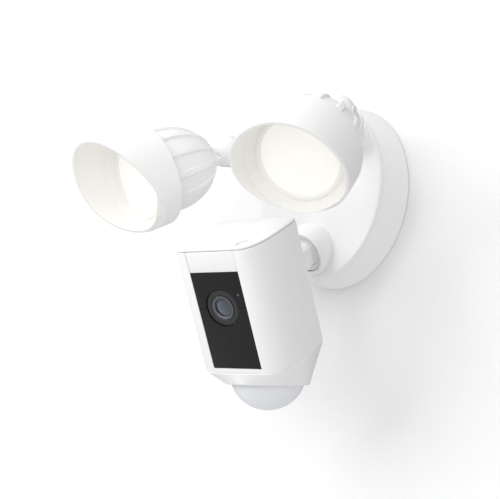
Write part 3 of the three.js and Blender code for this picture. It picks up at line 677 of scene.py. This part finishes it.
def build_knuckle(side):
    sign = LAMPS[side]["sign"]
    body = f"knuckle_{side}"
    end = KNUCKLE_RADIUS + 4 - GAP
    outline = [(0, -KNUCKLE_RADIUS), *arc(KNUCKLE_RADIUS, KNUCKLE_RADIUS, 0, -88, 20, 30),
               (ARM_RADIUS - 0.4, end), (0, end)]
    slot = moved(block(LUG_WIDTH + 2 * GAP, 40, 60, 0), 0, SWIVEL_PLATE - 20, 0)
    pocket = moved(disc(HEAD_RADIUS + GAP, KNUCKLE_RADIUS - HEAD_SINK - GAP, KNUCKLE_RADIUS + 5, 0),
                   turn=(-90 * sign, "Z"))
    piece(f"knuckle_shell_{side}", turned(filleted(outline, 0.7), 96), knuckle_frame(side), WHITE, body,
          [f"knuckle_{side}"], [slot, pocket])
    lock_cap = moved(disc(LOCK_CAP_RADIUS, KNUCKLE_RADIUS - 1, KNUCKLE_RADIUS + 0.4, 0.25),
                     turn=(-LOCK_CAP_TURN * sign, "Z"))
    piece(f"lock_cap_{side}", lock_cap, knuckle_frame(side), WHITE_SATIN, body)

    reach = KNUCKLE_RADIUS
    head = disc(HEAD_RADIUS, reach - HEAD_SINK, reach + 0.4, 0.4)
    shank = disc(PIN_RADIUS, -reach + 1, reach - HEAD_SINK + 0.1, 0.3, 32)
    driver = moved(block(5, 1.6, 1.2, 0), 0, reach + 0.4, 0)
    screw = moved(together(head, shank), turn=(-90 * sign, "Z"))
    piece(f"tilt_cap_{side}", screw, knuckle_frame(side), WHITE_SATIN, body, [f"tilt_screw_{side}"],
          [moved(driver, turn=(-90 * sign, "Z"))])


def lamp_radius(distance, inset=0):
    """Radius of the lamp's domed back at a distance from the pivot."""
    if distance >= LAMP_SHOULDER:
        return LAMP_RADIUS - inset
    reach = (LAMP_SHOULDER - distance) / (LAMP_SHOULDER - LAMP_REAR)
    return max(8, LAMP_RADIUS * math.sqrt(max(0, 1 - reach ** 2)) - inset)


def fin_lift(angle, radius):
    """How far the surface stands up towards a fin's top, from 0 between fins to 1 on one."""
    pitch = 2 * math.pi / FIN_COUNT
    offset = abs(angle % pitch - pitch / 2) * radius
    step = min(1, max(0, (FIN_THICKNESS / 2 + FIN_ROOT - offset) / FIN_ROOT))
    return step * step * (3 - 2 * step)


def fin_angles(radius=FIN_MIDDLE_RADIUS):
    """Angles round the lamp, crowded on the flanks of each fin."""
    pitch = 2 * math.pi / FIN_COUNT
    edge = FIN_THICKNESS / 2 / radius
    flank = FIN_ROOT / radius
    top = [0, edge * 0.5, edge]
    side = [edge + flank * i / 6 for i in range(1, 7)]
    between = [edge + flank + (pitch / 2 - edge - flank) * i / 5 for i in range(1, 6)]
    half = [*top, *side, *between]
    one = [-a for a in half[-2:0:-1]] + half
    return [pitch * (i + 0.5) + a for i in range(FIN_COUNT) for a in one]


def build_lamp(side):
    place = lamp_frame(side)
    body = f"lamp_{side}"
    half = LUG_WIDTH / 2
    rim = math.degrees(math.asin(half / LUG_RADIUS))
    eye = PIN_RADIUS + GAP
    slice_outline = [(eye, -half), *arc(LUG_RADIUS, LUG_RADIUS, 0, -rim, rim, 8), (eye, half)]
    neck = LAMP_REAR + 4 - eye
    lug = together(
        moved(turned(filleted(slice_outline, 0.4), 96), turn=(90, "Z")),
        moved(block(LUG_WIDTH - 0.1, neck, NECK_HEIGHT, 0.5), 0, -eye - neck / 2, 0),
        disc(LUG_PAD_RADIUS, -LAMP_REAR - 3, -LAMP_REAR, 0.6, 64),
    )
    piece(f"ribbed_body_{side}", ribbed_body(), place, COAT, body, [f"lamp_housing_{side}"], crease=28)
    piece(f"lamp_lug_{side}", lug, place, COAT, body)
    # the hood's inside takes the lining's painted light
    hood = piece(f"hood_shell_{side}", hood_shape(), place, [COAT, LIT_LINING], body, [f"hood_{side}"])
    line_hood(hood, place)

    inner = HOOD_REAR_RADIUS - WALL + 0.9
    bezel = turned(filleted([
        (LENS_RADIUS - 0.3, -LENS_PLACE + 3), (inner, -LENS_PLACE + 2.3), (inner, -LENS_PLACE - BEZEL_DEPTH),
        (inner - 0.7, -LENS_PLACE - BEZEL_DEPTH), (LENS_RADIUS + 3.2, -LENS_PLACE - 0.5),
        (LENS_RADIUS + 2.4, -LENS_PLACE - 1.7), (LENS_RADIUS + 0.9, -LENS_PLACE - 1.7),
        (LENS_RADIUS - 0.3, -LENS_PLACE - 0.4),
    ], 0.4))
    # the bezel takes the lining's painted light too
    piece(f"bezel_ring_{side}", bezel, place, LIT_LINING, body, [f"bezel_{side}"])
    crown = [(LENS_RADIUS * i / 12, -LENS_PLACE - 1.2 * (1 - (i / 12) ** 2)) for i in range(13)]
    lens = turned(filleted([*crown, (LENS_RADIUS, -LENS_PLACE + 2), (0, -LENS_PLACE + 1)], 0.3))
    piece(f"lens_disc_{side}", lens, place, DIFFUSER, body, [f"lens_{side}"])


def ribbed_body():
    """The domed back, with fins between smooth recessed panels, and the flange inside the hood."""
    flange_back = -HOOD_REAR - 1.5
    angles = fin_angles()
    rings = [[(0, -LAMP_REAR - 0.6, 0)] * len(angles)]
    ease = [math.radians(90 * i / 22) for i in range(23)]
    reaches = [LAMP_REAR + (LAMP_SHOULDER - LAMP_REAR) * (1 - math.cos(a)) for a in ease]
    for distance in [*reaches, LAMP_SHOULDER + 3, -flange_back]:
        low = lamp_radius(distance, FIN_DEPTH)
        high = lamp_radius(distance)
        rings.append([fin_point(a, low, high, -distance) for a in angles])
    bore = FLANGE_RADIUS - WALL
    flange = [(FLANGE_RADIUS, flange_back), (FLANGE_RADIUS, -LAMP_MOUTH), (bore, -LAMP_MOUTH),
              (bore, flange_back - 4), (24, flange_back - 2), (23, -50), (0, -48)]
    for radius, y in flange:
        rings.append([(radius * math.cos(a), y, radius * math.sin(a)) for a in angles])
    return skin(rings)


def fin_point(angle, low, high, y):
    radius = low + (high - low) * fin_lift(angle, FIN_MIDDLE_RADIUS)
    return (radius * math.cos(angle), y, radius * math.sin(angle))


def hood_shape():
    """A sleeve whose bowed mouth is cut at a slant, longest at the top, with a softly rounded lip."""
    rings = []
    for i in range(SIDES):
        angle = 2 * math.pi * i / SIDES
        mouth = mouth_y(HOOD_FRONT_RADIUS * math.sin(angle))
        lip = mouth_y((HOOD_FRONT_RADIUS - WALL) * math.sin(angle))
        outline = filleted([
            (HOOD_REAR_RADIUS, -HOOD_REAR), (HOOD_FRONT_RADIUS, mouth), (HOOD_FRONT_RADIUS - WALL, lip),
            (HOOD_REAR_RADIUS - WALL + 0.4, -HOOD_REAR),
        ], 0.9, 5)
        rings.append([(r * math.cos(angle), y, r * math.sin(angle)) for r, y in outline])
    return skin(rings, closed=True)


def mouth_y(z):
    """Where the hood's mouth lies at a height above the lamp's axis."""
    slant = math.radians(HOOD_SLANT)
    centre = HOOD_BOW * math.cos(slant) - HOOD_MIDDLE
    return centre - math.sqrt(HOOD_BOW ** 2 - (z - HOOD_BOW * math.sin(slant)) ** 2)


def line_hood(hood, place):
    """Puts the lining, the coat painted lighter as painted light, on the faces that look towards the lamp's own
    axis.
    """
    local = place.inverted()
    turn = place.to_3x3().inverted()
    for face in hood.data.polygons:
        centre = local @ face.center
        outward = Vector((centre.x, 0, centre.z)).normalized()
        if outward.dot((turn @ face.normal).normalized()) < -0.5:
            face.material_index = 1


# ---------- the camera ----------

def plan(inset=0, steps=14):
    """The camera's plan outline: flat in front, bowed at the sides, sharp back corners."""
    front = FRONT_HALF - 0.4 * inset
    side = SIDE_HALF - inset
    back = BACK_HALF - inset
    corner = BACK_CORNER - inset
    bulge = 2 * (BACK_BULGE - inset) - corner
    right = bezier([(front, inset), (front + 9.5, inset + 0.3), (side, inset + 8), (side, WIDEST)], steps)
    right += bezier([(side, WIDEST), (side, 43), (back, corner)], steps)[1:]
    rear = bezier([(back, corner), (0, bulge), (-back, corner)], steps)[1:-1]
    left = [Vector((-p.x, p.y)) for p in right[::-1]]
    flat = [Vector((-front + 2 * front * i / 6, inset)) for i in range(1, 6)]
    return right + rear + left + flat


def slab(outline, low, high, edge):
    """A plan outline raised between two heights, with its rims rounded by edge."""
    rings = []
    heights = [(edge * (1 - math.sin(a)), low + edge * (1 - math.cos(a))) for a in quarter()]
    tops = [(edge * (1 - math.sin(a)), high - edge * (1 - math.cos(a))) for a in quarter()[::-1]]
    for inset, z in heights + tops:
        rings.append([Vector((p.x, p.y, z)) for p in outline(inset)])
    return skin(rings)


def quarter(steps=4):
    return [math.pi / 2 * i / steps for i in range(steps + 1)]


def build_camera():
    recess = block(PANEL_WIDTH + 2 * GAP, 2 * (PANEL_DEPTH + 0.3), 100, 0)
    window = moved(recess, 0, 0, 50 - PANEL_HEIGHT / 2 - GAP)
    piece("camera_shell", slab(plan, CAMERA_BOTTOM, CAMERA_TOP, 0.45), CAMERA, WHITE_SATIN, "camera",
          ["camera_housing"], [window])
    well = moved(disc(BUTTON_RADIUS + 0.3, -6, 6, 0), *BUTTON_PLACE, CAMERA_TOP + 1, turn=(90, "X"))
    cap = slab(plan, CAMERA_TOP + GAP, CAMERA_TOP + GAP + CAP_THICKNESS, 0.5)
    piece("cap_shell", cap, CAMERA, WHITE_SATIN, "camera", ["top_cap"], [well])
    build_button()
    build_front()
    build_lens()
    build_sensor()


def build_button():
    """A round key with a thumb hollow, just below the cap's face."""
    top = CAMERA_TOP + GAP + CAP_THICKNESS - 0.7
    hollow = [(BUTTON_RADIUS * 0.8 * i / 8, -top + 0.5 * (1 - (i / 8) ** 2)) for i in range(9)]
    foot = -top + 2.6
    key = turned(filleted([*hollow, (BUTTON_RADIUS, -top), (BUTTON_RADIUS, foot), (0, foot)], 0.4), 64)
    # Turning -Y up to +Z stands the key on the cap.
    key = moved(key, *BUTTON_PLACE, 0, turn=(-90, "X"))
    piece("button_key", key, CAMERA, WHITE_SATIN, "button", ["setup_button"])


def build_front():
    top = PANEL_HEIGHT / 2
    hole = moved(disc(BARREL_RADIUS + GAP, -5, 10, 0, 96), 0, 0, LENS_HEIGHT)
    strip_height = CAMERA_TOP - top - GAP
    strip = block(PANEL_WIDTH, PANEL_DEPTH, strip_height, 0.35)
    strip = moved(strip, 0, PANEL_DEPTH / 2, top + GAP + strip_height / 2)
    piece("strip_plate", strip, CAMERA, WHITE_SATIN, "camera", ["fascia_strip"])
    upper = top - LENS_HEIGHT
    lower = PANEL_HEIGHT - upper - GAP
    eye = moved(disc(1.4, -5, 10, 0, 32), EYE_PLACE[0], 0, EYE_PLACE[1])
    window = moved(block(PANEL_WIDTH, PANEL_DEPTH, upper, 0.25), 0, PANEL_DEPTH / 2, top - upper / 2)
    piece("window_plate", window, CAMERA, GLOSS_BLACK, "camera", ["front_panel"], [hole.copy(), eye])
    grille = moved(block(PANEL_WIDTH, PANEL_DEPTH, lower, 0.25), 0, PANEL_DEPTH / 2, -top + lower / 2)
    piece("grille_plate", grille, CAMERA, GRILLE_BLACK, "camera", ["speaker_grille"], [hole])
    dot = moved(disc(1.1, 0.2, 3, 0.2, 32), EYE_PLACE[0], 0, EYE_PLACE[1])
    piece("sensor_dot", dot, CAMERA, GLASS, "camera", ["light_sensor"])


def build_lens():
    barrel = turned(filleted([
        (8.6, 0.9), (9.4, 0.5), (11.6, 0.35), (BARREL_RADIUS, 0.7), (BARREL_RADIUS, 4.2),
        (10, 4.2), (10, 19), (7, 19), (7, 4), (8.6, 4),
    ], 0.25), 96)
    piece("barrel_shell", moved(barrel, 0, 0, LENS_HEIGHT), CAMERA, BARREL_BLACK, "camera", ["lens_barrel"])
    ring = turned(filleted([(6.5, 1.3), (6.9, 0.7), (8.3, 0.5), (8.3, 3.4), (6.5, 3.4)], 0.25), 96)
    piece("ring_shell", moved(ring, 0, 0, LENS_HEIGHT), CAMERA, RING_GREY, "camera", ["lens_ring"])
    front = [(6.3 * i / 10, 0.7 + 1.3 * (i / 10) ** 2) for i in range(11)]
    glass = turned([*front, (6.3, 3.4), (0, 3.4)], 96)
    piece("glass_shell", moved(glass, 0, 0, LENS_HEIGHT), CAMERA, GLASS, "camera", ["lens_glass"])


def build_stem():
    """The ball, its chamfered square stem and the foot against the camera's back."""
    ball = turned([(0, -BALL_RADIUS), *arc(BALL_RADIUS, BALL_RADIUS, 0, -88, 88, 36), (0, BALL_RADIUS)], 96)
    foot = -(STEM_REACH - BACK_BULGE) + GAP
    stations = [(STEM_HALF + 1.2, STEM_CHAMFER, foot), (STEM_HALF + 1.2, STEM_CHAMFER, foot + 2.2),
                (STEM_HALF, STEM_CHAMFER, foot + 3), (STEM_HALF, STEM_CHAMFER, -13.6),
                (STEM_HALF - 0.4, STEM_CHAMFER, -13), (STEM_NECK + 0.3, STEM_CHAMFER - 1, -11),
                (STEM_NECK, STEM_CHAMFER - 1, -10.6), (STEM_NECK, STEM_CHAMFER - 1, -7)]
    stem = skin([stem_section(half, chamfer, y) for half, chamfer, y in stations])
    piece("stem_body", together(ball, stem), BALL, COAT, "camera", ["ball_stem"])


def stem_section(half, chamfer, y):
    """A square with chamfered corners, its edges slightly rounded."""
    short = half - chamfer
    corners = [(half, short), (short, half), (-short, half), (-half, short),
               (-half, -short), (-short, -half), (short, -half), (half, -short)]
    rounded = []
    for i, corner in enumerate(corners):
        here = Vector(corner)
        before = (Vector(corners[i - 1]) - here).normalized() * 0.6
        after = (Vector(corners[(i + 1) % 8]) - here).normalized() * 0.6
        rounded += bezier([here + before, here, here + after], 3)
    return [(p.x, y, p.y) for p in rounded]


def build_sensor():
    slope = math.tan(math.radians(RIM_TILT))
    top = plan(0)
    angles = [math.atan2(p.y - RIM_CENTRE.y, p.x - RIM_CENTRE.x) for p in top]

    def rim(radius, lift):
        spots = [(radius * math.cos(a), radius * math.sin(a)) for a in angles]
        return [RIM_CENTRE + Vector((x, y, lift - slope * y)) for x, y in spots]

    upper = CAMERA_BOTTOM - COLLAR_GAP
    rings = [
        [Vector((p.x, p.y, upper)) for p in plan(0.4)], [Vector((p.x, p.y, upper - 0.4)) for p in top],
        rim(RIM_RADIUS, 0.5), rim(RIM_RADIUS - 0.5, 0), rim(RIM_RADIUS - WALL, 0), rim(RIM_RADIUS - WALL, 3),
        [Vector((p.x, p.y, upper)) for p in plan(WALL)],
    ]
    piece("collar_shell", skin(rings, closed=True), CAMERA, WHITE_SATIN, "camera", ["sensor_collar"])

    centre = DOME_RADIUS - DOME_HEIGHT
    edge = -math.degrees(math.asin(centre / DOME_RADIUS))
    outside = [(0, centre - DOME_RADIUS), *arc(DOME_RADIUS, DOME_RADIUS, centre, -89, edge, 40)]
    lip = RIM_RADIUS - WALL - GAP
    dome = turned([*outside, (lip, 0.2), (lip, 2.5), (0, 2.5)])
    piece("dome_shell", dome, RIM, DOME, "camera", ["sensor_dome"])


# ---------- the studio ----------

def one_sided_wall():
    """Plain white paint that is seen only from the room."""
    nodes = Nodes("studio_wall")
    grain = nodes.noise(300, 2)
    nodes.set(Base_Color=nodes.tint(grain, gray(0.81), gray(0.83)), Roughness=nodes.range(grain, 0.9, 1.0))
    clear = nodes.add("ShaderNodeBsdfTransparent")
    behind = nodes.add("ShaderNodeNewGeometry").outputs["Backfacing"]
    mix = nodes.add("ShaderNodeMixShader", {0: behind, 1: nodes.shader.outputs[0], 2: clear.outputs[0]})
    nodes.tree.links.new(mix.outputs[0], nodes.tree.nodes["Material Output"].inputs["Surface"])
    return nodes.material


def plane(name, corners, material):
    mesh = bmesh.new()
    mesh.faces.new([mesh.verts.new(corner) for corner in corners])
    data = bpy.data.meshes.new(name)
    mesh.to_mesh(data)
    mesh.free()
    data.materials.append(material)
    made = bpy.data.objects.new(name, data)
    bpy.context.scene.collection.objects.link(made)
    return made


WALL_REACH = 6.0            # metres
FLOOR_HEIGHT = -1.4


def build_room():
    """The wall only takes shadows: it neither blocks nor bounces light, so the back is lit like the front."""
    reach = WALL_REACH
    behind = 0.0004
    wall = plane("wall", [(-reach, behind, -reach), (reach, behind, -reach), (reach, behind, reach),
                          (-reach, behind, reach)], one_sided_wall())
    wall.visible_diffuse = False
    wall.visible_glossy = False
    wall.visible_transmission = False
    wall.visible_shadow = False
    low = FLOOR_HEIGHT
    plane("floor", [(-reach, -reach, low), (reach, -reach, low), (reach, reach, low), (-reach, reach, low)],
          moulded("studio_floor", (0.7, 0.7, 0.7), 0.8))


def sun(name, direction, strength, spread):
    """Light that shines along a direction, softened by spread in degrees."""
    data = bpy.data.lights.new(name, "SUN")
    data.energy = strength
    data.angle = math.radians(spread)
    lamp = bpy.data.objects.new(name, data)
    lamp.rotation_mode = "QUATERNION"
    lamp.rotation_quaternion = Vector(direction).to_track_quat("-Z", "Y")
    bpy.context.scene.collection.objects.link(lamp)


def build_light():
    world = bpy.data.worlds.new("studio")
    world.use_nodes = True
    sky = world.node_tree.nodes["Background"]
    sky.inputs["Color"].default_value = gray(1)
    sky.inputs["Strength"].default_value = 0.51
    bpy.context.scene.world = world
    sun("key", (0.42, 0.7, -0.56), 1.75, 60)
    sun("overhead", (-0.45, 0.5, -0.74), 1.0, 80)
    sun("front", (-0.5, 0.85, 0.2), 1.05, 60)
    bpy.context.scene.view_settings.view_transform = "Standard"


VIEW_AZIMUTH = 50.67        # degrees from straight in front, towards +X
VIEW_ELEVATION = -13.07     # below the level of the target
VIEW_TARGET = Vector((-20.95, -72.1, -45.6))
VIEW_DISTANCE = 0.8755      # metres
VIEW_LENS = 88.06           # millimetres, on a sensor 36 wide


def build_viewpoint():
    """The camera looks up at the object from its right, low down."""
    azimuth = math.radians(VIEW_AZIMUTH)
    elevation = math.radians(VIEW_ELEVATION)
    target = VIEW_TARGET * MM
    back = Vector((math.sin(azimuth) * math.cos(elevation), -math.cos(azimuth) * math.cos(elevation),
                   math.sin(elevation)))
    data = bpy.data.cameras.new("viewpoint")
    data.lens = VIEW_LENS
    data.sensor_width = 36
    data.clip_end = 50
    viewpoint = bpy.data.objects.new("viewpoint", data)
    viewpoint.location = target + back * VIEW_DISTANCE
    viewpoint.rotation_mode = "QUATERNION"
    viewpoint.rotation_quaternion = (-back).to_track_quat("-Z", "Y")
    bpy.context.scene.collection.objects.link(viewpoint)
    bpy.context.scene.camera = viewpoint


finish_cad_nodes()
build_base()
build_socket()
for lamp_side in LAMPS:
    build_arm(lamp_side)
    build_knuckle(lamp_side)
    build_lamp(lamp_side)
build_camera()
build_stem()
build_room()
build_light()
build_viewpoint()
